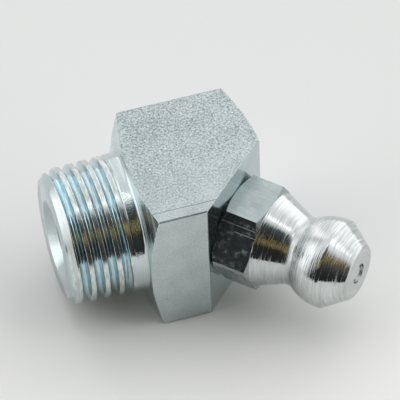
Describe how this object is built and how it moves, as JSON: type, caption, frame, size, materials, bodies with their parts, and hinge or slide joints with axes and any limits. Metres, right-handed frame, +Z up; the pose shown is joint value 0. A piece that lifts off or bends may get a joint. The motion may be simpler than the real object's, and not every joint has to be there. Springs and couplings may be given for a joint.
{
  "type": "grease nipple",
  "caption": "Angled grease nipple: square steel block with a fine taper thread on one end and a ball-ended valve head set into a seat at 45 degrees",
  "frame": {"origin": "centre of the thread's shoulder, on the thread's axis", "axes": "+X runs from the thread into the block, +Z is up with the nipple lying on one side of its block, and the head leans 45 degrees from +X towards -Y"},
  "size_m": [0.0208, 0.0164, 0.011],
  "materials": {
    "zinc_plated_body": "bright zinc plating over a cold drawn square bar with turned ends",
    "zinc_plated_head": "bright zinc plating over fine turning lines",
    "bearing_ball": "polished hardened steel",
    "spring_wire": "drawn spring wire"
  },
  "bodies": {
    "fitting": {"elbow_body": "zinc_plated_body", "nipple_head": "zinc_plated_head", "valve_spring": "spring_wire"},
    "valve": {"check_ball": "bearing_ball"}
  },
  "joints": [
    {"name": "valve_opening", "type": "slide", "parent": "fitting", "child": "valve", "axis": [-0.7071, 0.7071, 0], "range_m": [0, 0.0008], "stiffness_N_per_m": 300, "springref_m": -0.0005, "deforming": ["valve_spring"]}
  ]
}
